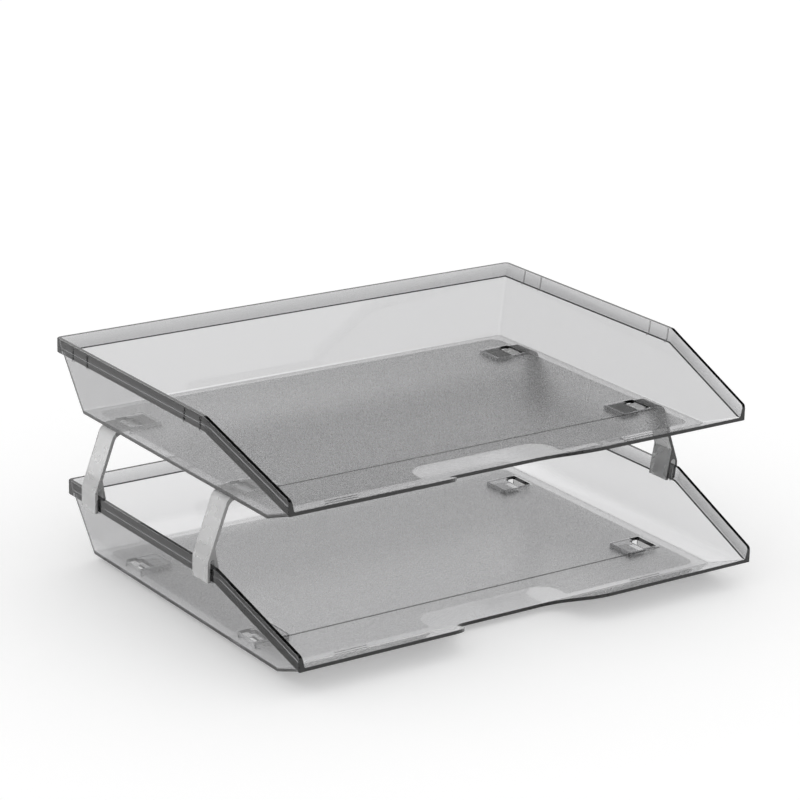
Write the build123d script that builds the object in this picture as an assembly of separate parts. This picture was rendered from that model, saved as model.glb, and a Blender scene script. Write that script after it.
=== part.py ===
from build123d import *
import math
import os

# Two smoke letter trays, loaded from the side, stacked one over the other on four clear risers.
# X is the width, the open front faces -Y and +Z is up. The origin is the middle of the stack's
# footprint, on the table. Each tray is drawn in its own frame, with y = 0 at the back face of its
# rim and z = 0 at the underside of its floor, and is then put in its place.

# Tray: plan and height
RIM_WIDTH = 355.0  # outside of the rim's band, side to side
TRAY_DEPTH = 266.0  # back face of the rim to the front tips
FLOOR_WIDTH = 330.0  # underside of the floor, side to side
FLOOR_SETBACK = 10.4  # back face of the rim to the back edge of the floor
RIM_HEIGHT = 50.2  # top of the rim over the underside of the floor
BAND_HEIGHT = 9.8  # upright band that edges the walls
LEDGE = 2.5  # how far the band stands out from the wall below it
SLOPE_LENGTH = 82.0  # front stretch where each side wall slopes down
RAMP_LENGTH = 32.0  # front stretch where the floor turns up
RAMP_RISE = 12.2  # height of the front edge over the floor

# Tray: thicknesses and radii
WALL = 2.2  # the walls flare inside to the top, so the upright band over them is a wedge
FLOOR = 2.5
BAND_CORNER = 3.0  # upright back corners, outside of the band
WALL_CORNER = 3.2  # and outside of the walls
CORNER_INSIDE = 1.6  # and inside of them
SLOPE_RADIUS = 6.0  # bend of the rim where the slope starts
TOE_RADIUS = 40.0  # and of the band's plan there
TIP_RADIUS = 3.2  # top of the front tips
BASE_OUTSIDE = 1.0  # radius outside, where the walls meet the floor
BASE_INSIDE = 1.0  # and inside
EDGE_RADIUS = 0.8  # band's outer edges, above and below

# Finger notch in the ramp
NOTCH_MOUTH = 101.0  # width at the front edge
NOTCH_FLOOR = 76.0  # width at its back
NOTCH_DEPTH = 31.0  # from the front edge
NOTCH_RADIUS = 14.0

# Fine step in the floor's thickness, along the front windows
STEP_WIDTH = 0.6
STEP_DEPTH = 0.35
STEP_GAP = 3.3  # from the front edge of the windows

# Small paper stops on the floor, just behind the ramp
STOP_INSIDE = 101.0  # middle of the tray to a stop's inboard end
STOP_LENGTH = 22.5
STOP_WIDTH = 1.6
STOP_HEIGHT = 0.3
STOP_GAP = 1.0  # from the ramp's fold

# Stations, where the risers stand on the rim
BACK_STATION = 32.3  # back face of the rim to the middle of a back riser
FRONT_INSET = 13.95  # start of the slope to the middle of a front riser
RIB_WIDTH = 0.5
RIB_STAND = 0.6  # how far a rib stands out from the band
RIB_DROP = 0.8  # how far a rib hangs below the band
RIB_TOP_GAP = 0.2  # from a rib's top to the rounding of the rim
RIB_CLEARANCE = 0.15  # from a rib to the riser beside it

# Windows and pockets in the floor, which take the tongues of the risers
WINDOW_INSET = 11.5  # side edge of the floor to the window
WINDOW_WIDTH = 10.0
TONGUE_BEHIND = 0.3  # clearance in the window behind the tongue
TONGUE_AHEAD = 0.9  # and in front of it
TONGUE_BELOW = 0.3  # and under it, in the pocket
TONGUE_GAP = 1.2  # from the tongue's end to the pocket's end wall
POCKET_LENGTH = 11.5  # how far the pocket runs on inboard of the window
POCKET_WALL = 1.5
POCKET_RADIUS = 2.0
LUG_WIDTH = 2.6  # small stop in the back inboard corner of the window
LUG_LENGTH = 3.4

# Risers
PITCH = 91.6  # from one tray's floor to the next
STEP_BACK = 13.0  # each tray sits this far behind the tray below it
RISER_WIDTH = 17.8
STRIP = 2.2  # thickness of the leaning strip and of the tongue
OUTER_LEG = 1.9
INNER_LEG = 1.8
FORK_OUTSIDE = 0.15  # clearance between the band and the outer leg
FORK_INSIDE = 0.2  # and between the wall and the inner leg's lower end
FORK_SLACK = 1.1  # and at least this much between them at the top of the rim
FORK_WIDTH = 3.6  # least width of the slot between the legs, at the top of the rim
LEG_DROP = 0.8  # how far the outer leg hangs below the band
CROTCH_RISE = 4.0  # top of the fork's slot over the rim
KINK_RISE = 2.3  # where the strip starts to lean, over the rim
WEB_RISE = 8.5  # from the kink to where the legs have run into one strip
TOP_OVERHANG = 0.5  # the strip's top corner stands out from the floor by this much
BEND_RADIUS = 6.0  # outside of the bend under the floor
BARB_HEIGHT = 1.5
BARB_WIDTH = 12.0
BARB_LENGTH = 6.0
BARB_GAP = 0.3  # from the barb to the outer edge of the window

# Worked out from the sizes above
LEDGE_HEIGHT = RIM_HEIGHT - BAND_HEIGHT
SLOPE_START = TRAY_DEPTH - SLOPE_LENGTH
STATIONS = {"back": BACK_STATION, "front": SLOPE_START - FRONT_INSET}
SIDES = {"left": -1, "right": 1}
SIDE_FLARE = (RIM_WIDTH / 2 - LEDGE - FLOOR_WIDTH / 2) / LEDGE_HEIGHT
BACK_FLARE = (FLOOR_SETBACK - LEDGE) / LEDGE_HEIGHT
TIP_HALF = FLOOR_WIDTH / 2 + RAMP_RISE * SIDE_FLARE + LEDGE
WINDOW_EDGE = FLOOR_WIDTH / 2 - WINDOW_INSET
WINDOW_LENGTH = TONGUE_BEHIND + RISER_WIDTH + TONGUE_AHEAD
POCKET_DEPTH = STRIP + TONGUE_BELOW + POCKET_WALL  # the lower tray stands on its pockets
BEYOND = 30.0  # how far a cutting block reaches past the tray


def flat(points, rounded=(), radius=0.0):
    """A face in the XY plane, with the named corners rounded."""
    face = make_face(Polyline(*points, close=True))
    corners = [v for v in face.vertices() for x, y in rounded if abs(v.X - x) + abs(v.Y - y) < 1e-6]
    return fillet(corners, radius) if corners and radius > 0 else face


def block(x_span, y_span, z_span):
    """A box between these limits."""
    size = [span[1] - span[0] for span in (x_span, y_span, z_span)]
    return Pos(x_span[0], y_span[0], z_span[0]) * Box(*size, align=(Align.MIN,) * 3)


def across(face, width=RIM_WIDTH + 2 * BEYOND):
    """A side outline, drawn as (y, z), run right across the tray."""
    return extrude(Plane.YZ.offset(-width / 2) * face, width)


def along_rim(drop, far):
    """A side outline between this far below the rim's top and the height called far."""
    fall = (LEDGE_HEIGHT - RAMP_RISE) / SLOPE_LENGTH
    level = RIM_HEIGHT - drop
    bend = (-SLOPE_START, level)
    front = -TRAY_DEPTH - BEYOND
    tip = (front, level - fall * (SLOPE_LENGTH + BEYOND))
    return flat([(BEYOND, level), bend, tip, (front, far), (BEYOND, far)], [bend], SLOPE_RADIUS)


def side_room():
    """Everything inside the tray's side outline: under the rim and behind the front tips."""
    front, low = -TRAY_DEPTH, -BEYOND
    behind = flat([(BEYOND, low), (front, low), (front, RIM_HEIGHT), (BEYOND, RIM_HEIGHT)])
    outline = along_rim(0, low) & behind
    tip = (front, RAMP_RISE + BAND_HEIGHT)
    corner = [v for v in outline.vertices() if abs(v.X - tip[0]) + abs(v.Y - tip[1]) < 1e-6]
    return across(fillet(corner, TIP_RADIUS))


def over_floor(lift):
    """Everything over the floor's underside, raised by this much square to itself."""
    angle = math.atan2(RAMP_RISE, RAMP_LENGTH)
    fold = RAMP_LENGTH - TRAY_DEPTH - lift * math.tan(angle / 2)
    front = -TRAY_DEPTH - BEYOND
    top = RIM_HEIGHT + 2 * BEYOND
    tip = (front, lift + (fold - front) * math.tan(angle))
    return across(flat([(BEYOND, lift), (fold, lift), tip, (front, top), (BEYOND, top)]))


def side_wall(height, inset):
    """Half the width between the side walls at this height, moved in by the inset square to them."""
    return FLOOR_WIDTH / 2 + height * SIDE_FLARE - inset * math.hypot(1, SIDE_FLARE)


def wall_section(height, inset, corner_radius):
    """The walls' outline at this height, moved in by the inset square to the walls."""
    half = side_wall(height, inset)
    back = -FLOOR_SETBACK + height * BACK_FLARE - inset * math.hypot(1, BACK_FLARE)
    front = -TRAY_DEPTH - BEYOND
    corners = [(-half, back), (half, back)]
    outline = flat(corners + [(half, front), (-half, front)], corners, corner_radius)
    return Pos(0, 0, height) * outline


def flared_form(inset, lift, corner_radius, base_radius):
    """The space between the flared walls and over the floor, with its lower edges rounded."""
    ends = [wall_section(height, inset, corner_radius) for height in (0, RIM_HEIGHT + 1)]
    form = loft(ends, ruled=True) & over_floor(lift)
    bottom = [f for f in form.faces() if f.normal_at().Z < -0.8]
    rounded = [e for e in form.edges() if abs(e.center().Y + TRAY_DEPTH + BEYOND) > 1
               and sum(e in f.edges() for f in bottom) == 1]
    return fillet(rounded, base_radius)


def band_block():
    """The band's plan, which toes in along the slope, as an upright block."""
    half = RIM_WIDTH / 2
    toe = (half - TIP_HALF) / SLOPE_LENGTH
    front_half = half - toe * (SLOPE_LENGTH + BEYOND)
    front = -TRAY_DEPTH - BEYOND
    corners = [(-half, 0), (half, 0)]
    sides = [(half, -SLOPE_START), (front_half, front), (-front_half, front), (-half, -SLOPE_START)]
    outline = flat(corners + sides, corners, BAND_CORNER)
    bends = [v for v in outline.vertices() if abs(v.Y + SLOPE_START) < 1e-6]
    return extrude(fillet(bends, TOE_RADIUS), RIM_HEIGHT)


def band():
    """The upright band that edges the walls, as a solid block, with its outer edges rounded."""
    shape = band_block() & over_floor(0) & across(along_rim(BAND_HEIGHT, 2 * RIM_HEIGHT)) & side_room()
    level = [e for f in shape.faces() if abs(f.normal_at().Z) > 0.4 for e in f.edges()]
    upright = [f for f in shape.faces() if abs(f.normal_at().Z) < 0.05 and f.center().Y > 1 - TRAY_DEPTH]
    return fillet([e for f in upright for e in f.edges() if e in level], EDGE_RADIUS)


def window_middle(station):
    """Where a window lies: over the riser that stands on the tray below."""
    return -(STATIONS[station] + STEP_BACK + (TONGUE_AHEAD - TONGUE_BEHIND) / 2)


def both_sides(piece):
    """A piece drawn for the right side, and its mirror image on the left."""
    return [piece, mirror(piece, Plane.YZ)]


def pocket(station):
    """A shallow socket under the floor: open outboard, and open below under the window."""
    y = window_middle(station)
    half = WINDOW_LENGTH / 2
    window_inner = WINDOW_EDGE - WINDOW_WIDTH
    end = window_inner - POCKET_LENGTH
    outer = block((end - POCKET_WALL, WINDOW_EDGE), (y - half - POCKET_WALL, y + half + POCKET_WALL),
                  (-POCKET_DEPTH, 0))
    outer = fillet(outer.edges().filter_by(Axis.Z), POCKET_RADIUS)
    room = block((end, WINDOW_EDGE + 1), (y - half, y + half), (POCKET_WALL - POCKET_DEPTH, 0))
    under_window = block((window_inner, WINDOW_EDGE + 1), (y - half, y + half), (-POCKET_DEPTH, 0))
    return outer - room - under_window


def window(station):
    """The hole through the floor, less the small stop in its corner."""
    y = window_middle(station)
    half = WINDOW_LENGTH / 2
    inner = WINDOW_EDGE - WINDOW_WIDTH
    hole = block((inner, WINDOW_EDGE), (y - half, y + half), (0, FLOOR))
    lug = block((inner, inner + LUG_WIDTH), (y + half - LUG_LENGTH, y + half), (0, FLOOR))
    return hole - lug


def rib(y):
    """A thin upright rib on the outside of the band, which also braces the ledge."""
    band = RIM_WIDTH / 2
    low = LEDGE_HEIGHT - RIB_DROP
    wall = FLOOR_WIDTH / 2 + low * SIDE_FLARE - WALL / 2
    top = RIM_HEIGHT - EDGE_RADIUS - RIB_TOP_GAP
    edge = band + RIB_STAND
    root = band - WALL / 2
    points = [(wall, low), (band, low), (edge, low + RIB_STAND), (edge, top - RIB_STAND), (band, top),
              (root, top), (root, LEDGE_HEIGHT + WALL), (wall, LEDGE_HEIGHT)]
    return extrude(Plane.XZ.offset(-y - RIB_WIDTH / 2) * flat(points), RIB_WIDTH)


def notch():
    """The finger notch, with S-curved ends, as the block that it takes out of the ramp."""
    front, back = -TRAY_DEPTH, NOTCH_DEPTH - TRAY_DEPTH
    mouth, floor = NOTCH_MOUTH / 2, NOTCH_FLOOR / 2
    far = mouth + 2 * NOTCH_RADIUS
    corners = [(-mouth, front), (-floor, back), (floor, back), (mouth, front)]
    points = [(-far, front)] + corners + [(far, front), (far, front - BEYOND), (-far, front - BEYOND)]
    return extrude(Pos(0, 0, -1) * flat(points, corners, NOTCH_RADIUS), RAMP_RISE + BEYOND)


def floor_step():
    """The fine line across the floor, just in front of the front windows."""
    y = window_middle("front") - WINDOW_LENGTH / 2 - STEP_GAP
    return block((-WINDOW_EDGE, WINDOW_EDGE), (y - STEP_WIDTH, y), (FLOOR - STEP_DEPTH, FLOOR + 1))


def stop():
    """A low ridge across the floor, which keeps the sheets from creeping up the ramp."""
    front = RAMP_LENGTH - TRAY_DEPTH + STOP_GAP
    return block((STOP_INSIDE, STOP_INSIDE + STOP_LENGTH), (front, front + STOP_WIDTH),
                 (FLOOR / 2, FLOOR + STOP_HEIGHT))


def tray():
    """One tray, in its own frame."""
    walls = band_block() & flared_form(0, 0, WALL_CORNER, BASE_OUTSIDE) & side_room()
    shape = walls + band() - flared_form(WALL, FLOOR, CORNER_INSIDE, BASE_INSIDE)
    rib_reach = RISER_WIDTH / 2 + RIB_CLEARANCE + RIB_WIDTH / 2
    for station, place in STATIONS.items():
        for piece in both_sides(pocket(station)):
            shape += piece
        for end in (-1, 1):
            for piece in both_sides(rib(end * rib_reach - place)):
                shape += piece
        for hole in both_sides(window(station)):
            shape -= hole
    for piece in both_sides(stop()):
        shape += piece
    return shape - notch() - floor_step()


def riser():
    """A riser for the right side, its middle at y = 0, in the frame of the tray that it stands on."""
    slot_outer = RIM_WIDTH / 2 + FORK_OUTSIDE
    slot_top = min(slot_outer - FORK_WIDTH, side_wall(RIM_HEIGHT, WALL) - FORK_SLACK)
    slot_low = side_wall(LEDGE_HEIGHT, WALL) - FORK_INSIDE
    slot_lean = (slot_top - slot_low) / BAND_HEIGHT
    outer = slot_outer + OUTER_LEG
    leg_low = LEDGE_HEIGHT - LEG_DROP
    kink = RIM_HEIGHT + KINK_RISE
    top_corner = FLOOR_WIDTH / 2 + TOP_OVERHANG
    lean = (outer - top_corner) / (PITCH - kink)
    across_strip = STRIP * math.hypot(1, lean)
    web_top = kink + WEB_RISE
    web_x = outer - lean * WEB_RISE - across_strip
    under = PITCH - STRIP
    under_x = outer - lean * (under - kink) - across_strip
    tongue_end = WINDOW_EDGE - WINDOW_WIDTH - POCKET_LENGTH + TONGUE_GAP
    corner, inside = (top_corner, PITCH), (under_x, under)
    tongue = [(tongue_end, PITCH), (tongue_end, under)]
    inner_leg = [(slot_top - INNER_LEG, RIM_HEIGHT), (slot_low - INNER_LEG, LEDGE_HEIGHT),
                 (slot_low, LEDGE_HEIGHT)]
    outline = flat([(slot_low, leg_low), (outer, leg_low), (outer, kink), corner] + tongue
                   + [inside, (web_x, web_top)] + inner_leg, [corner, inside], BEND_RADIUS)
    crotch = RIM_HEIGHT + CROTCH_RISE
    arch = crotch - (slot_outer - slot_top) / 2
    arch_inner = slot_top + slot_lean * (arch - RIM_HEIGHT)
    summit = ((arch_inner + slot_outer) / 2, crotch)
    slot = make_face(Polyline((arch_inner, arch), (slot_low, LEDGE_HEIGHT), (slot_low, leg_low),
                              (slot_outer, leg_low), (slot_outer, arch))
                     + ThreePointArc((slot_outer, arch), summit, (arch_inner, arch)))
    strip = extrude(Plane.XZ.offset(-RISER_WIDTH / 2) * (outline - slot), RISER_WIDTH)
    barb_outer = WINDOW_EDGE - BARB_GAP
    wedge = flat([(barb_outer - BARB_LENGTH, PITCH), (barb_outer, PITCH + BARB_HEIGHT),
                  (barb_outer, PITCH - STRIP / 2), (barb_outer - BARB_LENGTH, PITCH - STRIP / 2)])
    return strip + extrude(Plane.XZ.offset(-BARB_WIDTH / 2) * wedge, BARB_WIDTH)


def stack():
    """Every piece in its place, by name."""
    rim_back = (TRAY_DEPTH - STEP_BACK) / 2
    one_tray = tray()
    pieces = {"lower_tray": Pos(0, rim_back, POCKET_DEPTH) * one_tray,
              "upper_tray": Pos(0, rim_back + STEP_BACK, POCKET_DEPTH + PITCH) * one_tray}
    right = riser()
    for station, place in STATIONS.items():
        for side, sign in SIDES.items():
            piece = right if sign > 0 else mirror(right, Plane.YZ)
            pieces[f"riser_{station}_{side}"] = Pos(0, rim_back - place, POCKET_DEPTH) * piece
    return pieces


os.makedirs("parts", exist_ok=True)
for name, piece in stack().items():
    export_step(piece, f"parts/{name}.step")
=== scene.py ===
import math

import bpy
from mathutils import Matrix, Vector


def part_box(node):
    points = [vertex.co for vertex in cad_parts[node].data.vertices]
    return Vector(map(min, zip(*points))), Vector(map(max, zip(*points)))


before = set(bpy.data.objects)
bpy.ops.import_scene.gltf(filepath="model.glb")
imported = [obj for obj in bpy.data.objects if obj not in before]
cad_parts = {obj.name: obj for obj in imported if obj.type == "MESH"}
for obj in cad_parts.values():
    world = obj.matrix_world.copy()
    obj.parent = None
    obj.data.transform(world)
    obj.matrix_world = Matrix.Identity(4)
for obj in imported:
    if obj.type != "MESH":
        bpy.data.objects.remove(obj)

# Two smoke letter trays on four clear risers, on a white table. Lengths are in metres, and the
# frame is the model's own: +X to the right, the open front towards -Y, +Z up, the table at z = 0.
# The materials work in millimetres. A tray's material has the tray's own frame: y = 0 at the back
# face of its rim and z = 0 at the underside of its floor. An area in plan is given by its middle,
# its half size, its corner radius and, where it isn't crisp, its softness.

MM = 0.001
NOISE_LOW, NOISE_HIGH = 0.3, 0.7  # most of a noise lies between these

# Camera, in the model's frame
CAMERA_AIM = Vector((0.0098, 0.0245, 0.1050))
CAMERA_AZIMUTH = math.radians(-34.75)
CAMERA_ELEVATION = math.radians(18.29)
CAMERA_ROLL = math.radians(1.364)
CAMERA_DISTANCE = 1.9214
CAMERA_LENS_MM = 134.6
SENSOR_MM = 36.0
CLIP_START, CLIP_END = 0.05, 50.0

# Room: the strengths of its light, and of what the camera sees of it straight, by gloss or through glass
LIGHT = 0.9
CEILING = 0.04
LAMP = 1.0
DARK_FROM, DARK_TO = 0.30, 0.50  # sine of the height over the horizon where the ceiling darkens
LAMP_FROM, LAMP_TO = 0.80, 0.95  # and where the lamp overhead begins
BOUNCES = 24

# Table
TABLE_SIZE = 20.0
TABLE_GAP_MM = 0.05  # keeps the table clear of the tray's feet
TABLE_COLOUR = 0.86
TABLE_GLOW = 0.25
PAINTED_GLOW_AROUND = 0.52  # painted light: more glow where the table is seen through plastic, round the trays
AROUND_FROM, AROUND_TO = 220.0, 400.0  # distances from the middle where it ends
PAINTED_GLOW_UNDER = 0.66  # and painted light in the shadow under the lower tray
UNDER_TRAY = ((0.0, -7.5), (163.0, 130.0), 12.0, 10.0)

# Smoke plastic of the trays
STYRENE_IOR = 1.59
SMOKE_COLOUR = (0.40, 0.40, 0.41, 1)
SMOKE_DENSITY = 283.0
GLOSS = (0.012, 0.036)  # roughness of the bare faces
MATT = (0.23, 0.31)  # and of the matt field
SPECKLE = (0.97, 1.0)  # shades of the grains in the matt field
PAINTED_EDGE_SHADE = 0.03  # painted shade on the cut edges, the rim's top and the lip's front, standing in for the light they carry away inside the sheet
PAINTED_RIB_SHADE = 0.45  # painted shade of the thin ribs beside the risers' seats
PAINTED_STEP_SHADE = 0.32  # and painted shade on the fine step across the floor
GRAINS = (1.1, 3.0)  # how many in a millimetre, and how finely broken up
WAVES = (0.035, 2.0)  # the same for the slow waves of a moulded face
SMOKE_RELIEF = 0.08
WAVE_HEIGHT, GRAIN_HEIGHT = 0.15, 0.6  # shares of that relief
PAINTED_WALL_SHADES = {"lower_tray": 0.82, "upper_tray": 1.0}  # painted shade: the lower tray's walls are darkened, as they show the bright table
WALL_FROM, WALL_TO = 5.0, 16.0  # heights over which the floor turns into the wall

# Clear plastic of the risers
CLEAR_COLOUR = (0.55, 0.56, 0.56, 1)
CLEAR_DENSITY = 60.0
CLEAR_ROUGHNESS = (0.24, 0.33)
CLEAR_THROUGH = 0.5
CLEAR_SHADE = (0.86, 0.92)
CLEAR_PAINTED_EDGE_SHADE = (0.50, 0.05)  # painted shade on the risers' front edges, on the left, and on the right, where the edges show the dark trays
CLEAR_GRAINS = (1.6, 3.0)
CLEAR_WAVES = (0.08, 2.0)
CLEAR_RELIEF = 0.10

# Places on a tray, and the matt field on its floor
POCKET_DEPTH = 4.0  # from the floor's underside down to the tray's lowest point
FACES_FROM, FACES_TO = 0.80, 0.93  # how squarely a face looks along an axis, to count as looking there
FIELD_FOOT, FIELD_TOP = 1.7, 2.1  # heights in the floor's thickness over which the field begins
FIELD_MIDDLE, FIELD_HALF, FIELD_RADIUS = (0.0, -124.0), (156.5, 105.5), 7.0
BARE_AT_NOTCH = ((0.0, -245.0), (52.0, 35.5), 14.0)
WINDOW_ROWS = (-45.6, -183.35)
BARE_AT_WINDOWS = [((143.0, row), (12.2, 10.8), 1.0) for row in WINDOW_ROWS]
STEP_LINE = ((0.0, -196.45), (153.5, 1.0), 0.2)
STEP_FOOT = 1.0  # the line is only on the floor's upper side
RIM_FOOT = 18.0  # height over which faces that look up belong to the rim
LIP_FRONT = -265.5
BAND_FACE = 177.7


class Nodes:
    """The node tree of a material or of the world, with short calls for the nodes used here."""

    def __init__(self, owner):
        self.owner = owner
        owner.use_nodes = True
        self.tree = owner.node_tree
        self.tree.nodes.clear()

    def add(self, kind, inputs=(), **settings):
        """A new node, its settings, and its inputs as numbers or as sockets to link."""
        node = self.tree.nodes.new(kind)
        for key, value in settings.items():
            setattr(node, key, value)
        for key, value in dict(inputs).items():
            if isinstance(value, bpy.types.NodeSocket):
                self.tree.links.new(value, node.inputs[key])
            else:
                node.inputs[key].default_value = value
        return node

    def math(self, operation, first, second=0.0):
        """A sum with one or two numbers."""
        return self.add("ShaderNodeMath", {0: first, 1: second}, operation=operation).outputs[0]

    def vector(self, operation, first, second=(0.0, 0.0, 0.0)):
        """A sum with one or two vectors."""
        inputs = {0: first, 1: second}
        return self.add("ShaderNodeVectorMath", inputs, operation=operation).outputs["Vector"]

    def between(self, value, low, high, at_low, at_high):
        """A smooth passage from one number to another as the value goes from low to high."""
        inputs = {"Value": value, "From Min": low, "From Max": high, "To Min": at_low, "To Max": at_high}
        return self.add("ShaderNodeMapRange", inputs, interpolation_type="SMOOTHSTEP").outputs[0]

    def blend(self, factor, first, second):
        """The first number where the factor is 0, and the second where it is 1."""
        return self.add("ShaderNodeMix", {"Factor": factor, "A": first, "B": second}).outputs[0]

    def noise(self, place, scale, detail):
        """Noise of about 0 to 1, with this many grains in a millimetre."""
        inputs = {"Vector": place, "Scale": scale, "Detail": detail}
        return self.add("ShaderNodeTexNoise", inputs).outputs[0]

    def spread(self, noise, at_low, at_high):
        """A noise turned into a range of values."""
        return self.between(noise, NOISE_LOW, NOISE_HIGH, at_low, at_high)

    def area(self, place, middle, half, radius, soft=0.3):
        """1 inside a rounded rectangle in plan and 0 outside it."""
        reach = self.vector("SUBTRACT", place, (middle[0], middle[1], 0.0))
        reach = self.vector("ABSOLUTE", reach)
        reach = self.vector("SUBTRACT", reach, (half[0] - radius, half[1] - radius, 0.0))
        reach = self.vector("MAXIMUM", reach)
        length = self.add("ShaderNodeVectorMath", {0: reach}, operation="LENGTH").outputs["Value"]
        return self.between(length, radius - soft, radius + soft, 1.0, 0.0)


def tray_origin(node_name):
    """Where a tray's own frame has its zero, in millimetres."""
    low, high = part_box(node_name)
    return (0.0, high[1] / MM, low[2] / MM + POCKET_DEPTH)


def place_in(nodes, origin):
    """A point's place in millimetres from this origin."""
    coords = nodes.add("ShaderNodeTexCoord").outputs["Object"]
    scaled = nodes.add("ShaderNodeVectorMath", {0: coords, "Scale": 1 / MM}, operation="SCALE")
    return nodes.vector("SUBTRACT", scaled.outputs["Vector"], origin)


def looks(nodes, axis, sign):
    """1 where the surface looks along an axis, and 0 elsewhere."""
    normal = nodes.add("ShaderNodeNewGeometry").outputs["Normal"]
    along = nodes.add("ShaderNodeSeparateXYZ", {0: normal}).outputs[axis]
    return nodes.between(nodes.math("MULTIPLY", along, sign), FACES_FROM, FACES_TO, 0.0, 1.0)


def matt_field(nodes, plan, height):
    """1 on the textured part of a tray's floor and 0 elsewhere."""
    field = nodes.area(plan, FIELD_MIDDLE, FIELD_HALF, FIELD_RADIUS)
    for bare in [BARE_AT_NOTCH] + BARE_AT_WINDOWS:
        outside = nodes.math("SUBTRACT", 1.0, nodes.area(plan, *bare))
        field = nodes.math("MULTIPLY", field, outside)
    top_side = nodes.between(height, FIELD_FOOT, FIELD_TOP, 0.0, 1.0)
    return nodes.math("MULTIPLY", field, top_side)


def cut_edges(nodes, parts):
    """1 on the top of the rim and on the front of the lip, where shade is painted, and 0 elsewhere."""
    high = nodes.math("GREATER_THAN", parts["Z"], RIM_FOOT)
    front = nodes.math("LESS_THAN", parts["Y"], LIP_FRONT)
    rim = nodes.math("MULTIPLY", looks(nodes, "Z", 1.0), high)
    lip = nodes.math("MULTIPLY", looks(nodes, "Y", -1.0), front)
    return nodes.math("MAXIMUM", rim, lip)


def see_through(nodes, shade, roughness, height, relief, transmission, absorbed, density):
    """See-through plastic, which darkens what is seen through it by the length of the way."""
    grey = nodes.add("ShaderNodeCombineColor", {0: shade, 1: shade, 2: shade}).outputs[0]
    bump = nodes.add("ShaderNodeBump", {"Height": height, "Distance": relief * MM, "Strength": 1.0})
    surface = nodes.add("ShaderNodeBsdfPrincipled", {
        "Base Color": grey, "Roughness": roughness, "IOR": STYRENE_IOR,
        "Transmission Weight": transmission, "Normal": bump.outputs[0]})
    volume = nodes.add("ShaderNodeVolumeAbsorption", {"Color": absorbed, "Density": density})
    nodes.add("ShaderNodeOutputMaterial", {"Surface": surface.outputs[0], "Volume": volume.outputs[0]})
    return nodes.owner


def smoke_shade(nodes, parts, width, plan, field, grain, painted_wall_shade):
    """How pale the smoke plastic is, with painted shade: darker on the lower tray's walls, at cut edges,
    ribs and the line of the step.
    """
    # painted shade on the lower tray's walls
    wall = nodes.between(parts["Z"], WALL_FROM, WALL_TO, 1.0, painted_wall_shade)
    shade = nodes.blend(field, wall, nodes.spread(grain, *SPECKLE))
    # painted shade on the step's line, the cut edges and the ribs
    upper_side = nodes.math("GREATER_THAN", parts["Z"], STEP_FOOT)
    line = nodes.math("MULTIPLY", nodes.area(plan, *STEP_LINE), upper_side)
    shade = nodes.blend(line, shade, PAINTED_STEP_SHADE)
    shade = nodes.blend(cut_edges(nodes, parts), shade, PAINTED_EDGE_SHADE)
    return nodes.blend(nodes.math("GREATER_THAN", width, BAND_FACE), shade, PAINTED_RIB_SHADE)


def smoke_plastic(name, origin, painted_wall_shade):
    """A tray's plastic: glossy, with a fine-grained matt field on the floor, and painted shade on the
    lower tray's walls, the cut edges, ribs and step line.
    """
    nodes = Nodes(bpy.data.materials.new(name))
    place = place_in(nodes, origin)
    parts = nodes.add("ShaderNodeSeparateXYZ", {0: place}).outputs
    width = nodes.math("ABSOLUTE", parts["X"])
    plan = nodes.add("ShaderNodeCombineXYZ", {"X": width, "Y": parts["Y"]}).outputs[0]
    field = matt_field(nodes, plan, parts["Z"])
    grain = nodes.noise(place, *GRAINS)
    waves = nodes.noise(place, *WAVES)
    roughness = nodes.blend(field, nodes.spread(waves, *GLOSS), nodes.spread(grain, *MATT))
    low_relief = nodes.math("MULTIPLY", waves, WAVE_HEIGHT)
    fine_relief = nodes.math("MULTIPLY", nodes.math("MULTIPLY", grain, field), GRAIN_HEIGHT)
    height = nodes.math("ADD", low_relief, fine_relief)
    shade = smoke_shade(nodes, parts, width, plan, field, grain, painted_wall_shade)
    return see_through(nodes, shade, roughness, height, SMOKE_RELIEF, 1.0, SMOKE_COLOUR, SMOKE_DENSITY)


def clear_plastic(name):
    """The risers' plastic: colourless, and slightly frosted by the mould, with painted shade on its
    front edges.
    """
    nodes = Nodes(bpy.data.materials.new(name))
    place = place_in(nodes, (0.0, 0.0, 0.0))
    waves = nodes.noise(place, *CLEAR_WAVES)
    roughness = nodes.spread(waves, *CLEAR_ROUGHNESS)
    shade = nodes.spread(nodes.noise(place, *CLEAR_GRAINS), *CLEAR_SHADE)
    side = nodes.add("ShaderNodeSeparateXYZ", {0: place}).outputs["X"]
    # painted shade on the risers' front edges, darker on the right
    painted_edge_shade = nodes.between(side, -1.0, 1.0, *CLEAR_PAINTED_EDGE_SHADE)
    shade = nodes.blend(looks(nodes, "Y", -1.0), shade, painted_edge_shade)
    return see_through(nodes, shade, roughness, waves, CLEAR_RELIEF, CLEAR_THROUGH, CLEAR_COLOUR,
                       CLEAR_DENSITY)


def paint(node_name, material):
    """Puts one material on a node of the model."""
    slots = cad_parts[node_name].data.materials
    slots.clear()
    slots.append(material)


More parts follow.
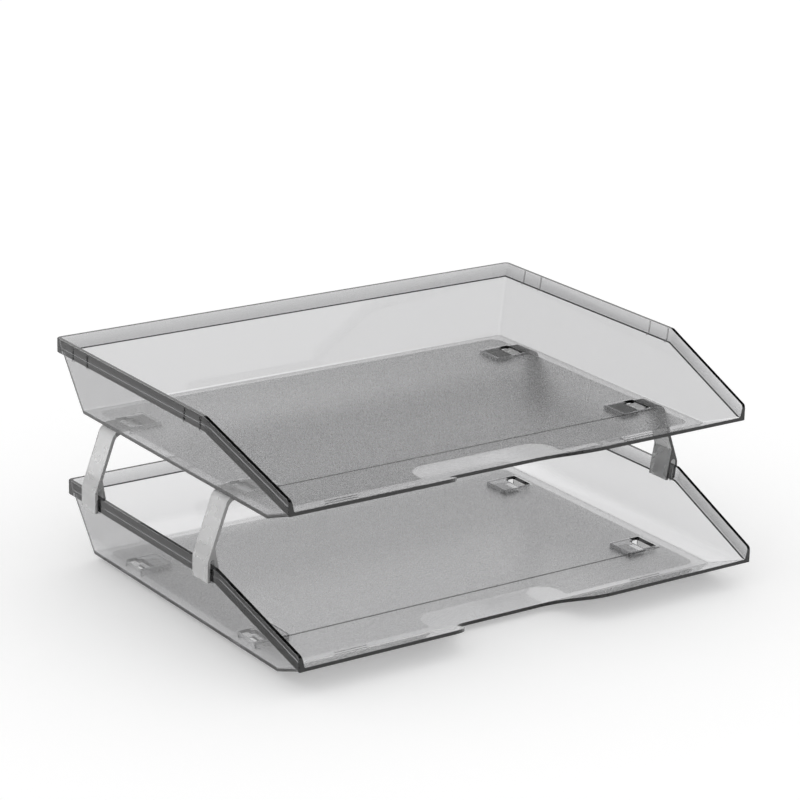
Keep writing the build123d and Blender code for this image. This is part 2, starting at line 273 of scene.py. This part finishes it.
def set_up_camera():
    """The camera, at the photograph's viewing angle."""
    back = Vector((math.sin(CAMERA_AZIMUTH) * math.cos(CAMERA_ELEVATION),
                   -math.cos(CAMERA_AZIMUTH) * math.cos(CAMERA_ELEVATION),
                   math.sin(CAMERA_ELEVATION)))
    level_right = (-back).cross(Vector((0, 0, 1))).normalized()
    level_up = level_right.cross(-back)
    right = math.cos(CAMERA_ROLL) * level_right + math.sin(CAMERA_ROLL) * level_up
    up = math.cos(CAMERA_ROLL) * level_up - math.sin(CAMERA_ROLL) * level_right
    data = bpy.data.cameras.new("camera")
    data.lens = CAMERA_LENS_MM
    data.sensor_width = SENSOR_MM
    data.clip_start, data.clip_end = CLIP_START, CLIP_END
    camera = bpy.data.objects.new("camera", data)
    turn = Matrix((right, up, back)).transposed().to_4x4()
    camera.matrix_world = Matrix.Translation(CAMERA_AIM + back * CAMERA_DISTANCE) @ turn
    bpy.context.scene.collection.objects.link(camera)
    bpy.context.scene.camera = camera


def seen_directly(nodes):
    """1 for what the camera sees, straight or by way of gloss or glass, and 0 for lighting."""
    path = nodes.add("ShaderNodeLightPath").outputs
    seen = nodes.math("MAXIMUM", path["Is Camera Ray"], path["Is Glossy Ray"])
    seen = nodes.math("MAXIMUM", seen, path["Is Transmission Ray"])
    return nodes.math("MULTIPLY", seen, nodes.math("LESS_THAN", path["Diffuse Depth"], 0.5))


def set_up_world():
    """A white studio: an even pale light, a white backdrop, a dark ceiling and one lamp overhead."""
    nodes = Nodes(bpy.data.worlds.new("studio"))
    light = nodes.add("ShaderNodeBackground", {"Color": (1, 1, 1, 1), "Strength": LIGHT})
    sky = nodes.add("ShaderNodeTexCoord").outputs["Generated"]
    height = nodes.add("ShaderNodeSeparateXYZ", {0: sky}).outputs["Z"]
    backdrop = nodes.between(height, DARK_FROM, DARK_TO, 1.0, CEILING)
    overhead = nodes.between(height, LAMP_FROM, LAMP_TO, 0.0, LAMP)
    around = nodes.math("MAXIMUM", backdrop, overhead)
    straight = nodes.add("ShaderNodeLightPath").outputs["Is Camera Ray"]
    strength = nodes.math("MAXIMUM", around, straight)
    seen = nodes.add("ShaderNodeBackground", {"Color": (1, 1, 1, 1), "Strength": strength})
    shaders = {0: seen_directly(nodes), 1: light.outputs[0], 2: seen.outputs[0]}
    mix = nodes.add("ShaderNodeMixShader", shaders)
    nodes.add("ShaderNodeOutputWorld", {"Surface": mix.outputs[0]})
    bpy.context.scene.world = nodes.owner


def set_up_floor():
    """A pale table, white where no shadow falls on it, with painted light round the trays and under the
    lower tray where it is seen through plastic.
    """
    bpy.ops.mesh.primitive_plane_add(size=TABLE_SIZE, location=(0, 0, -TABLE_GAP_MM * MM))
    table = bpy.context.object
    table.name = "table"
    nodes = Nodes(bpy.data.materials.new("pale_table"))
    colour = (TABLE_COLOUR, TABLE_COLOUR, TABLE_COLOUR, 1)
    diffuse = nodes.add("ShaderNodeBsdfDiffuse", {"Color": colour})
    place = place_in(nodes, (0.0, 0.0, 0.0))
    away = nodes.add("ShaderNodeVectorMath", {0: place}, operation="LENGTH").outputs["Value"]
    # painted light on the table round the trays and under the lower tray, seen only through plastic
    around = nodes.between(away, AROUND_FROM, AROUND_TO, PAINTED_GLOW_AROUND, 0.0)
    painted_light = nodes.blend(nodes.area(place, *UNDER_TRAY), around, PAINTED_GLOW_UNDER)
    through = nodes.add("ShaderNodeLightPath").outputs["Is Transmission Ray"]
    glow = nodes.math("ADD", TABLE_GLOW, nodes.math("MULTIPLY", through, painted_light))
    strength = nodes.math("MULTIPLY", seen_directly(nodes), glow)
    glow = nodes.add("ShaderNodeEmission", {"Color": (1, 1, 1, 1), "Strength": strength})
    both = nodes.add("ShaderNodeAddShader", {0: diffuse.outputs[0], 1: glow.outputs[0]})
    nodes.add("ShaderNodeOutputMaterial", {"Surface": both.outputs[0]})
    table.data.materials.append(nodes.owner)


def set_up_view():
    """Plain colours, and enough bounces for the light to get through both trays."""
    scene = bpy.context.scene
    scene.view_settings.view_transform = "Standard"
    scene.cycles.max_bounces = BOUNCES
    scene.cycles.transmission_bounces = BOUNCES
    scene.cycles.transparent_max_bounces = BOUNCES


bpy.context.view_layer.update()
clear = clear_plastic("clear_plastic")
for node_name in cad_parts:
    if node_name in PAINTED_WALL_SHADES:
        smoke = smoke_plastic("smoke_" + node_name, tray_origin(node_name), PAINTED_WALL_SHADES[node_name])
        paint(node_name, smoke)
    else:
        paint(node_name, clear)
set_up_camera()
set_up_world()
set_up_floor()
set_up_view()
